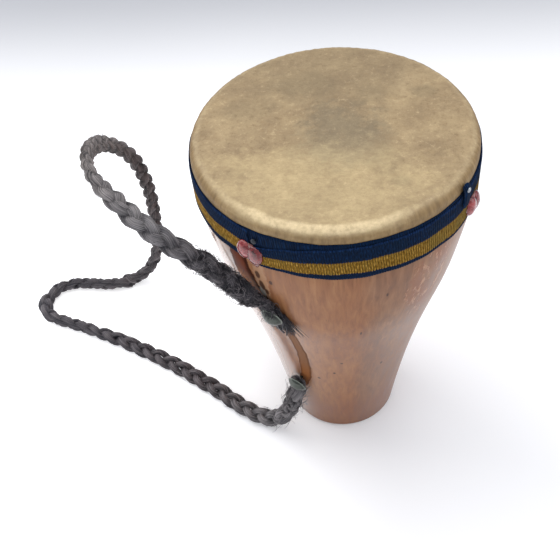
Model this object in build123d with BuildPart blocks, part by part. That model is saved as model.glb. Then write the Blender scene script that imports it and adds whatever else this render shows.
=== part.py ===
"""Small goblet-shaped hand drum: a turned wooden shell with a hide head, two
ribbons round the rim, glass beads set in glue, and a braided hair strap held
by two domed nails.  Millimetres, +Z up, origin at the centre of the foot."""
import os
from math import cos, pi, radians, sin, sqrt, tan

from build123d import *

os.makedirs("parts", exist_ok=True)

# ---- shell and head
HEIGHT = 199.0  # foot to playing surface
OUTLINE = [(30.5, 0), (33.5, 21), (38.0, 48), (50.1, 102), (57.2, 129), (61.1, 150)]
RIM_R = 63.6  # wood under the hide
RIM_START = 172.0  # the flare turns straight here
WALL = 6.5
FOOT_CHAMFER = 1.2
HIDE_T = 0.6
HIDE_R = RIM_R + HIDE_T
HIDE_HEM = 174.0  # lower edge of the hide, under the ribbons
SHOULDER_R = 5.5  # the hide rolls over the rim on this radius
LAND = 1.5  # flat on top of the rim

# ---- ribbons
BINDING_T = 0.4
BINDING_BOTTOM = 173.0
BINDING_TOP = 192.0
TRIM_T = 0.6
TRIM_BOTTOM = 172.0
TRIM_TOP = 191.0
BINDING_R = HIDE_R + BINDING_T
TRIM_R = BINDING_R + TRIM_T
TRIM_JOINT = 236.0  # the trim's two ends meet at this angle, under the first beads
TRIM_GAP = 0.5

# ---- the trim's folded end, which stands up past the ribbons
LAP_ANGLE = 325.0
LAP_SPAN = 8.0  # degrees
LAP_T = 1.0
LAP_BOTTOM = 183.0
LAP_TOP = 197.0

# ---- glass beads in glue, two to a cluster
CLUSTER_ANGLES = [236.0, 334.0, 64.0, 150.0]
BEAD_Z = 179.0
BEAD_SPREAD = 3.0  # degrees each side of the cluster's middle
BEAD_RADIUS = 2.9
BEAD_HALF_LENGTH = 4.2
GLUE_SPREAD = 1.5
GLUE_BALL = 12.0
GLUE_STAND = 1.1

# ---- pins through the ribbons, one above each cluster
PIN_ANGLES = [238.5, 325.8, 66.5, 152.5]
PIN_HEIGHTS = [187.0, 193.0, 187.0, 187.0]
PIN_SEATS = [TRIM_R, TRIM_R + LAP_T, TRIM_R, TRIM_R]
PIN_HEAD_R = 1.3
PIN_HEAD_T = 0.7
PIN_R = 0.5
PIN_LENGTH = 6.0

# ---- domed nails that hold the strap: angle, height on the shell
NAILS = {"strap_tack_upper": (240.5, 136.0), "strap_tack_lower": (236.5, 55.0)}
NAIL_SEAT = 4.5  # the head stands this far off the wood
NAIL_HEAD_R = 5.5
NAIL_DOME = 3.2
NAIL_SHEET = 0.8
NAIL_SHANK_R = 0.9
NAIL_DEPTH = 5.5
NAIL_POINT = 1.8
SEAT_CLEARANCE = 0.2

# ---- strap: from its frayed end under the upper nail to the lower nail
STRAP_R = 4.0
FLOOR = 4.2  # centre of the strap where it lies on the ground
STRAP_ROUTE = [
    (-26.5, -55.4, 123), (-37, -54.5, 146), (-55, -47.5, 163), (-78, -41, 176), (-99, -23, 184),
    (-117, -4, 183), (-128, 25, 179), (-125, 57, 159), (-113, 73, 125), (-112, 83, 89),
    (-116, 89, 53), (-121, 91, 21), (-135, 88, FLOOR), (-154, 82, FLOOR), (-173, 85, FLOOR),
    (-190, 84, FLOOR), (-200, 70, FLOOR), (-195, 56, FLOOR), (-172, 48, FLOOR), (-142, 35, FLOOR),
    (-112, 19, FLOOR), (-82, -1, FLOOR), (-57, -21, FLOOR), (-38, -32.5, 9), (-26.5, -34, 33),
    (-24.3, -37.2, 58),
]


def save(piece, label):
    """Names a finished piece and writes its STEP file."""
    piece.part.label = label
    export_step(piece.part, f"parts/{label}.step")


def around(radius, angle, z):
    """A point at this radius and angle from the drum's axis."""
    return (radius * cos(radians(angle)), radius * sin(radians(angle)), z)


def facing_out(radius, angle, z):
    """A plane on the drum's side whose normal points away from its axis."""
    return Plane(origin=around(radius, angle, z), x_dir=(0, 0, 1), z_dir=around(1, angle, 0))


# ---- domed nails: a hollow sheet head on a pointed shank, square to the wood
with BuildLine() as shell_outline:
    flare = Spline(*OUTLINE, (RIM_R, RIM_START), tangents=[(0.12, 1), (0, 1)], tangent_scalars=[1, 1])


def surface_at(angle, z):
    """A plane on the shell's outer face, with its normal square to the wood."""
    here = flare.position_at(flare.param_at_point(flare.intersect(Axis((0, z), (1, 0)))[0]))
    along = flare.tangent_at(here)
    out = Vector(along.Y * cos(radians(angle)), along.Y * sin(radians(angle)), -along.X)
    side = Vector(-sin(radians(angle)), cos(radians(angle)), 0)
    return Plane(origin=around(here.X, angle, z), x_dir=side, z_dir=out)


dome_ball = (NAIL_HEAD_R**2 + NAIL_DOME**2) / (2 * NAIL_DOME)
dome_centre = NAIL_SEAT + NAIL_DOME - dome_ball
inner_ball = dome_ball - NAIL_SHEET
half_rim = NAIL_HEAD_R / 2
inner_rim = sqrt(inner_ball**2 - (NAIL_SEAT - dome_centre) ** 2)
inner_mid = (inner_rim + NAIL_SHANK_R) / 2
neck = dome_centre + sqrt(inner_ball**2 - NAIL_SHANK_R**2)

with BuildPart() as nail:
    with BuildSketch(Plane.XZ):
        with BuildLine():
            Polyline(
                (0, NAIL_SEAT + NAIL_DOME),
                (0, -NAIL_DEPTH),
                (NAIL_SHANK_R, NAIL_POINT - NAIL_DEPTH),
                (NAIL_SHANK_R, neck),
            )
            ThreePointArc(
                (NAIL_SHANK_R, neck),
                (inner_mid, dome_centre + sqrt(inner_ball**2 - inner_mid**2)),
                (inner_rim, NAIL_SEAT),
            )
            Line((inner_rim, NAIL_SEAT), (NAIL_HEAD_R, NAIL_SEAT))
            ThreePointArc(
                (NAIL_HEAD_R, NAIL_SEAT),
                (half_rim, dome_centre + sqrt(dome_ball**2 - half_rim**2)),
                (0, NAIL_SEAT + NAIL_DOME),
            )
        make_face()
    revolve(axis=Axis.Z)

nail_planes = {}
nails = {}
for nail_name, (nail_angle, nail_z) in NAILS.items():
    nail_planes[nail_name] = surface_at(nail_angle, nail_z)
    with BuildPart() as placed_nail:
        add(nail_planes[nail_name].location * nail.part)
    nails[nail_name] = placed_nail
    save(placed_nail, nail_name)

# ---- pins: small flat-headed nails through the ribbons and the hide
pins = []
for number, (pin_angle, pin_z, pin_seat) in enumerate(zip(PIN_ANGLES, PIN_HEIGHTS, PIN_SEATS), 1):
    with BuildPart() as pin:
        with BuildSketch(facing_out(pin_seat, pin_angle, pin_z)):
            Circle(PIN_HEAD_R)
        extrude(amount=PIN_HEAD_T)
        outwards = Axis((0, 0, 0), around(1, pin_angle, 0))
        fillet(pin.faces().sort_by(outwards)[-1].edges(), PIN_HEAD_T / 2)
        with BuildSketch(facing_out(pin_seat, pin_angle, pin_z)):
            Circle(PIN_R)
        extrude(amount=-PIN_LENGTH)
    pins.append(pin)
    save(pin, f"ribbon_pin_{number}")

# ---- shell: open at the foot and at the rim, the hollow follows the outside
shoulder_z = HEIGHT - SHOULDER_R
rim_top = HEIGHT - HIDE_T
rim_round = SHOULDER_R - HIDE_T
land_out = RIM_R - rim_round
land_in = land_out - LAND
bore_top = rim_top - LAND
diagonal = sqrt(0.5)

with BuildPart() as shell:
    with BuildSketch(Plane.XZ):
        with BuildLine():
            add(flare)
            Line((RIM_R, RIM_START), (RIM_R, shoulder_z))
            ThreePointArc(
                (RIM_R, shoulder_z),
                (land_out + rim_round * diagonal, shoulder_z + rim_round * diagonal),
                (land_out, rim_top),
            )
            Polyline(
                (land_out, rim_top),
                (land_in, rim_top),
                (RIM_R - WALL, bore_top),
                (RIM_R - WALL, RIM_START),
            )
            Spline(
                (RIM_R - WALL, RIM_START),
                *[(r - WALL, z) for r, z in reversed(OUTLINE)],
                tangents=[(0, -1), (-0.12, -1)],
            )
            Line((OUTLINE[0][0] - WALL, 0), OUTLINE[0])
        make_face()
    revolve(axis=Axis.Z)
    foot_edges = shell.edges().filter_by(GeomType.CIRCLE).group_by(Axis.Z)[0]
    chamfer(foot_edges, FOOT_CHAMFER)
    for piece in list(nails.values()) + pins:
        add(piece.part, mode=Mode.SUBTRACT)
save(shell, "shell")

# ---- head: one hide, flat on top, rolled over the rim and down under the ribbons
hide_land = HIDE_R - SHOULDER_R
with BuildPart() as drumhead:
    with BuildSketch(Plane.XZ):
        with BuildLine():
            Polyline((hide_land, rim_top), (0, rim_top), (0, HEIGHT), (hide_land, HEIGHT))
            ThreePointArc(
                (hide_land, HEIGHT),
                (hide_land + SHOULDER_R * diagonal, shoulder_z + SHOULDER_R * diagonal),
                (HIDE_R, shoulder_z),
            )
            Polyline((HIDE_R, shoulder_z), (HIDE_R, HIDE_HEM), (RIM_R, HIDE_HEM), (RIM_R, shoulder_z))
            ThreePointArc(
                (RIM_R, shoulder_z),
                (hide_land + rim_round * diagonal, shoulder_z + rim_round * diagonal),
                (hide_land, rim_top),
            )
        make_face()
    revolve(axis=Axis.Z)
    for pin in pins:
        add(pin.part, mode=Mode.SUBTRACT)
save(drumhead, "drumhead")

# ---- ribbons: a plain one on the hide, and the striped trim over it
with BuildPart() as binding_ribbon:
    with BuildSketch(Plane.XY.offset(BINDING_BOTTOM)):
        Circle(BINDING_R)
        Circle(HIDE_R, mode=Mode.SUBTRACT)
    extrude(amount=BINDING_TOP - BINDING_BOTTOM)
    for pin in pins:
        add(pin.part, mode=Mode.SUBTRACT)
save(binding_ribbon, "binding_ribbon")

with BuildPart() as trim_ribbon:
    with BuildSketch(Plane.XY.offset(TRIM_BOTTOM)):
        Circle(TRIM_R)
        Circle(BINDING_R, mode=Mode.SUBTRACT)
        with Locations(Rotation(0, 0, TRIM_JOINT) * Location((TRIM_R, 0))):
            Rectangle(4 * TRIM_T, TRIM_GAP, mode=Mode.SUBTRACT)
    extrude(amount=TRIM_TOP - TRIM_BOTTOM)
    for pin in pins:
        add(pin.part, mode=Mode.SUBTRACT)
save(trim_ribbon, "trim_ribbon")

# ---- lap: the folded end of the trim, pinned down and standing up past it
with BuildPart() as trim_lap:
    with BuildSketch(Plane.XY.offset(LAP_BOTTOM)):
        with BuildLine():
            lap_start = LAP_ANGLE - LAP_SPAN / 2
            inner = CenterArc((0, 0), TRIM_R, lap_start, LAP_SPAN)
            outer = CenterArc((0, 0), TRIM_R + LAP_T, lap_start, LAP_SPAN)
            Line(inner @ 0, outer @ 0)
            Line(inner @ 1, outer @ 1)
        make_face()
    extrude(amount=LAP_TOP - LAP_BOTTOM)
    fillet(trim_lap.edges().filter_by(Axis.Z), LAP_T * 0.4)
    for pin in pins:
        add(pin.part, mode=Mode.SUBTRACT)
save(trim_lap, "trim_lap")

# ---- beads: oval glass with a flat back, long way up, side by side in a pool of glue
for number, cluster_angle in enumerate(CLUSTER_ANGLES, 1):
    beads = {}
    for side, turn in (("a", -BEAD_SPREAD), ("b", BEAD_SPREAD)):
        bead_angle = cluster_angle + turn
        middle = around(TRIM_R, bead_angle, BEAD_Z)
        with BuildPart() as bead:
            with BuildSketch(Plane(origin=middle, x_dir=(0, 0, 1), z_dir=around(1, bead_angle + 90, 0))):
                with BuildLine():
                    half = EllipticalCenterArc(
                        (0, 0), BEAD_HALF_LENGTH, BEAD_RADIUS, start_angle=180, arc_size=180
                    )
                    Line(half @ 1, half @ 0)
                make_face()
            revolve(axis=Axis(middle, (0, 0, 1)))
            with BuildSketch(Plane.XY.offset(TRIM_BOTTOM)):
                Circle(TRIM_R)
            extrude(amount=TRIM_TOP - TRIM_BOTTOM, mode=Mode.SUBTRACT)
        beads[side] = bead
        save(bead, f"bead_{number}{side}")
    with BuildPart() as glue_pad:
        for turn in (-GLUE_SPREAD, GLUE_SPREAD):
            with Locations(around(TRIM_R + GLUE_STAND - GLUE_BALL, cluster_angle + turn, BEAD_Z)):
                Sphere(GLUE_BALL)
        with BuildSketch(Plane.XY.offset(TRIM_BOTTOM - GLUE_BALL)):
            Circle(TRIM_R)
        extrude(amount=TRIM_TOP - TRIM_BOTTOM + 2 * GLUE_BALL, mode=Mode.SUBTRACT)
        for bead in beads.values():
            add(bead.part, mode=Mode.SUBTRACT)
    save(glue_pad, f"glue_pad_{number}")

# ---- strap: straight runs joined by tangent arcs, seated under both nails
corners = [Vector(*point) for point in STRAP_ROUTE]
bend_radii = []
for before, corner, after in zip(corners, corners[1:], corners[2:]):
    turn = (corner - before).get_angle(after - corner)
    shorter = min((corner - before).length, (after - corner).length)
    bend_radii.append(0.45 * shorter / tan(radians(turn) / 2))

with BuildPart() as strap_braid:
    with BuildLine() as route:
        FilletPolyline(*STRAP_ROUTE, radius=bend_radii)
    with BuildSketch(Plane(origin=route.line @ 0, z_dir=route.line % 0)):
        Circle(STRAP_R)
    path = route.wire()
    sweep(path=path)
    swept_volume = strap_braid.part.volume
    for nail_name, nail_plane in nail_planes.items():
        with BuildSketch(nail_plane.offset(NAIL_SEAT)):
            Circle(NAIL_HEAD_R + SEAT_CLEARANCE)
        extrude(amount=2 * STRAP_R, mode=Mode.SUBTRACT)
        add(nails[nail_name].part, mode=Mode.SUBTRACT)
save(strap_braid, "strap_braid")

tube_volume = pi * STRAP_R**2 * path.length
print("strap radii", [round(radius, 1) for radius in bend_radii])
print("strap length", round(path.length, 1), "swept volume over tube volume", swept_volume / tube_volume)
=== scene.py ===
"""The looks of a small goblet-shaped hand drum: a turned and varnished wooden
shell, a hide head, a navy and gold ribbon, glass beads in glue, domed nails and
a plaited hair strap.  Metres, +Z up, origin at the centre of the foot."""

from math import atan2, cos, degrees, exp, hypot, pi, radians, sin, sqrt

import bpy
import numpy as np
from mathutils import Matrix, Vector, noise


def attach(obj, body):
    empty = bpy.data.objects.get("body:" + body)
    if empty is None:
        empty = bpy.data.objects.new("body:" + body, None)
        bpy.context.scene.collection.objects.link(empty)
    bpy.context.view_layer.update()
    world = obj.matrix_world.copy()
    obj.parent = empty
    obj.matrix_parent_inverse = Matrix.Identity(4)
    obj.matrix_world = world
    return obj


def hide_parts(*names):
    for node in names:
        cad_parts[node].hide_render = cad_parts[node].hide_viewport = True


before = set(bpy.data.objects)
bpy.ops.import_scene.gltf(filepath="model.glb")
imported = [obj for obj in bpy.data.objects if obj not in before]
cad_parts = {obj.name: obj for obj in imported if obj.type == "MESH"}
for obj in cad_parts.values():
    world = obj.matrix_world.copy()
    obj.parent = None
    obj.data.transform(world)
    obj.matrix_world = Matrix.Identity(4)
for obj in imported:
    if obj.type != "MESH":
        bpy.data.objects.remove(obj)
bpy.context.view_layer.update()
bpy.ops.object.select_all(action="DESELECT")

MM = 0.001

# ---- sizes shared with the drum's source, in millimetres
HEIGHT = 199.0
HIDE_T = 0.6
HIDE_R = 64.2
HIDE_HEM = 174.0
SHOULDER_R = 5.5
BINDING_R = 64.6
TRIM_R = 65.2
NAIL_SEAT = 4.5
NAIL_HEAD_R = 5.5
NAIL_DOME = 3.2
NAIL_SHEET = 0.8

# the bead clusters, from the front left round to the back: angle, height and the glue's drip
CLUSTERS = ((236.0, 179.0, 4.6), (334.0, 177.0, 2.6), (64.0, 179.0, 0.8), (150.0, 179.0, 0.8))
RIB_SLANT = 0.09  # how far a ribbon's rib leans, in degrees for each millimetre up

# the strap's line, from its frayed end under the upper nail to the lower nail
STRAP_ROUTE = [
    (-26.5, -55.4, 123), (-37, -54.5, 146), (-55, -47.5, 163), (-78, -41, 176), (-99, -23, 184),
    (-113, -4, 182.6), (-121.6, 25, 172.8), (-120.7, 57, 150.5), (-113, 73, 125), (-112, 83, 89),
    (-116, 89, 53), (-121, 91, 21), (-135, 88, 4.6), (-154, 82, 4.2), (-173, 85, 4.2),
    (-190, 84, 4.2), (-200, 70, 4.2), (-195, 56, 4.2), (-172, 48, 4.0), (-142, 35, 3.4),
    (-112, 19, 3.3), (-82, -1, 3.3), (-57, -21, 3.4), (-38, -32.5, 8.5), (-26.5, -34, 33),
    (-24.4, -37.0, 57),
]
PLAIT_TURN = 31.2  # how far one strand goes in crossing over and back
STRAND_SWING = 2.45  # a strand's way to each side of the plait's middle
STRAND_RISE = 1.7  # and above and below it
STRAND_HALF_WIDTH = 2.6
STRAND_HALF_THICK = 1.85
CORE_SHARE = 0.93  # how much of a strand its solid core fills
CORE_ROUNDS = 26
STRAND_HAIRS = 66
HAIR_TURN = 150.0  # how far a hair goes in winding once round its strand
HAIR_RINGS = 9  # places along a loose hair

# where the strap's hair is browner, bluer and darker, from 0 at its frayed end to 1
HAIR_BROWNER = [(0.0, 0.0), (0.12, 0.0), (0.22, 0.5), (0.4, 0.5), (0.5, 0.1), (1.0, 0.05)]
HAIR_BLUER = [
    (0.0, 0.7), (0.14, 0.25), (0.2, 0.0), (0.5, 0.1), (0.6, 0.9), (0.76, 0.6), (0.85, 0.0), (1.0, 0.2),
]
HAIR_DARKER = [
    (0.0, 0.7), (0.09, 0.5), (0.13, 0.0), (0.29, 0.05), (0.35, 0.75), (0.5, 0.6), (0.6, 0.5),
    (0.84, 0.75), (0.92, 0.2), (1.0, 0.5),
]

# the brown run down the wood: height, the angle of its middle, and half its width in degrees
RUN = [
    (40, 234.0, 1.5), (50, 237.0, 5.0), (60, 241.5, 4.6), (72, 243.5, 4.3), (90, 244.8, 3.6),
    (102, 243.8, 3.2), (118, 242.2, 2.6), (129, 241.0, 2.6), (136, 238.6, 2.8), (143, 235.2, 3.4),
    (150, 230.6, 5.2), (155, 228.7, 5.8), (164, 227.6, 4.9), (172, 227.2, 4.6),
]
# pits in the glue and the wood: angle and height, then half their width in degrees and height
PITS = [
    ((237.0, 154.5), (1.3, 3.8)), ((237.8, 141.0), (1.5, 1.3)), ((242.0, 160.0), (0.8, 1.4)),
    ((236.2, 162.5), (1.1, 2.8)), ((238.6, 150.5), (1.0, 2.2)), ((228.0, 15.0), (2.4, 2.2)),
    ((270.0, 84.0), (0.9, 0.8)), ((298.5, 73.0), (1.0, 1.2)), ((252.5, 62.0), (1.1, 1.0)),
    ((264.6, 71.0), (0.9, 1.0)), ((280.0, 120.0), (0.5, 1.6)), ((290.0, 152.0), (0.5, 1.4)),
]
# stains on the head: place and reach in millimetres to the right and back, then strength
STAINS = [
    ((26.5, -36.5), (4.0, 3.0), 0.4), ((41.5, 22.0), (6.0, 5.0), 0.3), ((-38.0, 16.0), (12.0, 8.0), 0.3),
    ((-12.0, 32.0), (14.0, 9.0), 0.3), ((18.0, 22.0), (9.0, 6.0), 0.25),
    ((22.0, -24.0), (8.0, 8.0), 0.25), ((-6.0, -26.0), (7.0, 5.0), 0.2),
]


# ---------------------------------------------------------------- camera
def place_camera():
    """The camera looks down at the drum from in front of it."""
    yaw, dip, tilt = -0.1042, 0.8548, -0.1155
    ahead = Vector((sin(yaw) * cos(dip), cos(yaw) * cos(dip), -sin(dip)))
    level = Vector((cos(yaw), -sin(yaw), 0))
    over = level.cross(ahead)
    right = cos(tilt) * level + sin(tilt) * over
    up = cos(tilt) * over - sin(tilt) * level
    lens = bpy.data.cameras.new("camera")
    lens.lens = 54.973
    lens.sensor_width = 36
    lens.clip_start, lens.clip_end = 0.01, 20
    camera = bpy.data.objects.new("camera", lens)
    camera.matrix_world = Matrix.Translation((0, -0.296449, 0.440333)) @ Matrix(
        (right, up, -ahead)
    ).transposed().to_4x4()
    bpy.context.scene.collection.objects.link(camera)
    bpy.context.scene.camera = camera


# ---------------------------------------------------------------- making meshes
def around(radius, angle, z):
    """A point in millimetres at this radius and angle from the drum's axis, in metres."""
    return Vector((radius * cos(radians(angle)), radius * sin(radians(angle)), z)) * MM


def mesh_piece(name, points, faces):
    """A smooth mesh object made from points and from arrays of four- or three-cornered faces."""
    mesh = bpy.data.meshes.new(name)
    corners = np.concatenate([np.asarray(f, np.int32).ravel() for f in faces])
    sizes = np.concatenate([np.full(len(f), np.asarray(f).shape[1], np.int32) for f in faces])
    starts = np.concatenate([[0], np.cumsum(sizes)[:-1]]).astype(np.int32)
    mesh.vertices.add(len(points))
    mesh.vertices.foreach_set("co", np.asarray(points, np.float32).ravel())
    mesh.loops.add(len(corners))
    mesh.loops.foreach_set("vertex_index", corners)
    mesh.polygons.add(len(sizes))
    mesh.polygons.foreach_set("loop_start", starts)
    mesh.polygons.foreach_set("loop_total", sizes)
    mesh.polygons.foreach_set("use_smooth", np.full(len(sizes), True))
    mesh.update(calc_edges=True)
    mesh.validate()
    piece = bpy.data.objects.new(name, mesh)
    bpy.context.scene.collection.objects.link(piece)
    return piece


def write_attribute(piece, name, values):
    """Keeps one number for each point of a piece, for its finish to read."""
    made = piece.data.attributes.new(name, "FLOAT", "POINT")
    made.data.foreach_set("value", np.asarray(values, np.float32).ravel())


def unit(vectors):
    return vectors / np.maximum(np.linalg.norm(vectors, axis=-1, keepdims=True), 1e-9)


def tubes(name, lines, radii, **attributes):
    """Many hairs in one mesh, each a closed three-sided tube: lines is (hairs, rings, 3) in
    millimetres, radii is (hairs, rings), and each attribute is (hairs, rings) or (hairs, 1)."""
    sides = 3
    count, rings, _ = lines.shape
    along = unit(np.gradient(lines, axis=1))
    helper = np.zeros_like(along)
    helper[..., 0], helper[..., 2] = 0.31, 0.95
    across = unit(np.cross(along, helper))
    upward = np.cross(across, along)
    turn = 2 * pi * np.arange(sides) / sides
    ring = (
        across[:, :, None] * np.cos(turn)[None, None, :, None]
        + upward[:, :, None] * np.sin(turn)[None, None, :, None]
    )
    points = (lines[:, :, None] + ring * radii[:, :, None, None]) * MM
    index = np.arange(count * rings * sides).reshape(count, rings, sides)
    following = np.roll(index, -1, axis=2)
    cells = [index[:, :-1], index[:, 1:], following[:, 1:], following[:, :-1]]
    sleeves = np.stack(cells, axis=-1).reshape(-1, 4)
    piece = mesh_piece(name, points.reshape(-1, 3), [sleeves, index[:, 0, :], index[:, -1, ::-1]])
    for key, values in attributes.items():
        write_attribute(piece, key, np.broadcast_to(values[..., None], (count, rings, sides)))
    return piece


def closed_sleeve(index):
    """The faces of one tube that is closed at both ends, from its points' numbers, ring by ring."""
    following = np.roll(index, -1, axis=1)
    cells = [index[:-1], following[:-1], following[1:], index[1:]]
    caps = [
        np.array([[ring[0], ring[i], ring[i + 1]] for i in range(1, len(ring) - 1)])
        for ring in (index[0, ::-1], index[-1])
    ]
    return [np.stack(cells, axis=-1).reshape(-1, 4), *caps]


def half_ball(name, segments, rings, size):
    """The outward half of a ball, drawn out to a size in three directions, with a flat back."""
    bpy.ops.mesh.primitive_uv_sphere_add(segments=segments, ring_count=rings, radius=MM)
    piece = bpy.context.object
    piece.name = piece.data.name = name
    bpy.ops.object.mode_set(mode="EDIT")
    bpy.ops.mesh.select_all(action="SELECT")
    bpy.ops.transform.resize(value=size)
    bpy.ops.mesh.bisect(
        plane_co=(0, 0, 0), plane_no=(1, 0, 0), use_fill=True, clear_inner=True, threshold=1e-7
    )
    bpy.ops.object.mode_set(mode="OBJECT")
    bpy.ops.object.shade_smooth()
    piece.select_set(False)
    return piece


def draw_outline(name, outline):
    """Starts a turned piece: one point drawn out along an outline of radius and height."""
    bpy.ops.mesh.primitive_plane_add(size=MM, location=(0, 0, 0))
    piece = bpy.context.object
    piece.name = piece.data.name = name
    bpy.ops.object.mode_set(mode="EDIT")
    bpy.ops.mesh.select_all(action="SELECT")
    bpy.ops.mesh.merge(type="CENTER")
    radius, height = outline[0]
    bpy.ops.transform.translate(value=(radius * MM, 0, height * MM))
    for (r0, z0), (r1, z1) in zip(outline, outline[1:]):
        step = ((r1 - r0) * MM, 0, (z1 - z0) * MM)
        bpy.ops.mesh.extrude_region_move(TRANSFORM_OT_translate={"value": step})
    return piece


def turn_piece(name, outline, steps):
    """A turned piece: its outline is spun about the upright axis and its seam is closed."""
    piece = draw_outline(name, outline)
    bpy.ops.mesh.select_all(action="SELECT")
    bpy.ops.mesh.spin(steps=steps, angle=2 * pi, center=(0, 0, 0), axis=(0, 0, 1))
    bpy.ops.mesh.select_all(action="SELECT")
    bpy.ops.mesh.remove_doubles(threshold=2e-6)
    bpy.ops.mesh.normals_make_consistent(inside=False)
    bpy.ops.object.mode_set(mode="OBJECT")
    bpy.ops.object.shade_smooth()
    piece.select_set(False)
    return piece


def shift_points(piece, move):
    """Moves every point of a piece, where move takes and gives millimetres."""
    count = len(piece.data.vertices)
    points = np.zeros(count * 3, np.float32)
    piece.data.vertices.foreach_get("co", points)
    moved = [move(Vector(p)) for p in points.reshape(-1, 3).astype(float) / MM]
    piece.data.vertices.foreach_set("co", (np.array(moved, np.float32) * MM).ravel())
    piece.data.update()


def put(piece, slot, finish, *nodes):
    """Gives a finished piece its finish and its place on the drum."""
    piece.data.materials.clear()
    piece.data.materials.append(finish)
    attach(piece, "root")
    if nodes:
        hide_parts(*nodes)
    return piece


# ---------------------------------------------------------------- making finishes
def paint(red, green, blue):
    """A colour from its everyday values of 0 to 255."""
    shares = [c / 255 for c in (red, green, blue)]
    return (*[c / 12.92 if c <= 0.04045 else ((c + 0.055) / 1.055) ** 2.4 for c in shares], 1)


class Finish:
    """A material that is put together node by node."""

    def __init__(self, name):
        self.made = bpy.data.materials.new(name)
        self.made.use_nodes = True
        self.tree = self.made.node_tree
        self.tree.nodes.clear()
        self.place = self.node("ShaderNodeTexCoord").outputs["Object"]
        self._polar = None

    def node(self, kind, inputs=None, **settings):
        made = self.tree.nodes.new(kind)
        for key, value in settings.items():
            setattr(made, key, value)
        for key, value in (inputs or {}).items():
            if isinstance(value, bpy.types.NodeSocket):
                self.tree.links.new(value, made.inputs[key])
            else:
                made.inputs[key].default_value = value
        return made

    def math(self, operation, *values, clamp=False):
        made = self.node("ShaderNodeMath", dict(enumerate(values)), operation=operation)
        made.use_clamp = clamp
        return made.outputs[0]

    def plus(self, first, second):
        return self.math("ADD", first, second)

    def minus(self, first, second):
        return self.math("SUBTRACT", first, second)

    def times(self, first, second):
        return self.math("MULTIPLY", first, second)

    def either_way(self, value, reach):
        """Takes 0 to 1 onto half the reach to either side of nothing."""
        return self.times(self.minus(value, 0.5), reach)

    def vector(self, *parts):
        return self.node("ShaderNodeCombineXYZ", dict(enumerate(parts))).outputs[0]

    def scaled(self, value, low, high, to_low=0.0, to_high=1.0, soft=True):
        """Takes low to high onto to_low to to_high, and holds outside."""
        keys = {"Value": value, "From Min": low, "From Max": high, "To Min": to_low, "To Max": to_high}
        kind = "SMOOTHSTEP" if soft else "LINEAR"
        return self.node("ShaderNodeMapRange", keys, interpolation_type=kind).outputs["Result"]

    def stops(self, value, stops):
        """A colour or a grey for each value, straight from one stop to the next."""
        ramp = self.node("ShaderNodeValToRGB", {"Fac": value})
        marks = ramp.color_ramp.elements
        for i, (at, colour) in enumerate(stops):
            mark = marks[i] if i < 2 else marks.new(at)
            mark.position = at
            mark.color = colour if hasattr(colour, "__len__") else (colour, colour, colour, 1)
        return ramp.outputs["Color"]

    def mix(self, share, first, second, how="MIX"):
        made = self.node("ShaderNodeMix", data_type="RGBA", blend_type=how)
        for key, value in ((0, share), (6, first), (7, second)):
            if isinstance(value, bpy.types.NodeSocket):
                self.tree.links.new(value, made.inputs[key])
            else:
                made.inputs[key].default_value = value
        return made.outputs[2]

    def tint(self, body, mask, share, colour):
        """Lays a colour over the body where the mask is, at a share of its full strength."""
        return self.mix(self.times(mask, share), body, colour)

    def stretched(self, scale):
        return self.node("ShaderNodeMapping", {"Vector": self.place, "Scale": scale}).outputs["Vector"]

    def noise(self, scale, vector=None, detail=3.0, rough=0.55, distort=0.0):
        keys = {
            "Vector": vector or self.place, "Scale": scale, "Detail": detail,
            "Roughness": rough, "Distortion": distort,
        }
        return self.node("ShaderNodeTexNoise", keys).outputs["Fac"]

    def attribute(self, name):
        return self.node("ShaderNodeAttribute", attribute_name=name).outputs["Fac"]

    def polar(self):
        """The angle round the drum in degrees, the radius and the height in millimetres."""
        if self._polar is None:
            parts = self.node("ShaderNodeSeparateXYZ", {0: self.place}).outputs
            angle = self.times(self.math("ARCTAN2", parts[1], parts[0]), degrees(1))
            turned = self.plus(angle, self.times(self.math("LESS_THAN", angle, 0.0), 360.0))
            squares = self.plus(self.math("POWER", parts[0], 2.0), self.math("POWER", parts[1], 2.0))
            radius = self.times(self.math("SQRT", squares), 1000.0)
            self._polar = turned, radius, self.times(parts[2], 1000.0)
        return self._polar

    def spot(self, first, second, at, reach, edge=0.45, wobble=None):
        """A soft oval: 1 inside and 0 outside, in the two measures it is given."""
        terms = []
        for measure, middle, half in zip((first, second), at, reach):
            away = self.math("DIVIDE", self.minus(measure, middle), half)
            terms.append(self.times(away, away))
        far = self.plus(*terms)
        if wobble is not None:
            far = self.plus(far, wobble)
        return self.scaled(far, 1 - edge, 1 + edge, 1.0, 0.0)

    def bump(self, height, strength, distance, under=None):
        keys = {"Height": height, "Strength": strength, "Distance": distance}
        if under is not None:
            keys["Normal"] = under
        return self.node("ShaderNodeBump", keys).outputs["Normal"]

    def done(self, **sockets):
        names = {key: key.replace("_", " ") for key in sockets}
        shader = self.node("ShaderNodeBsdfPrincipled", {names[k]: v for k, v in sockets.items()})
        self.node("ShaderNodeOutputMaterial", {"Surface": shader.outputs["BSDF"]})
        return self.made


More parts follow.
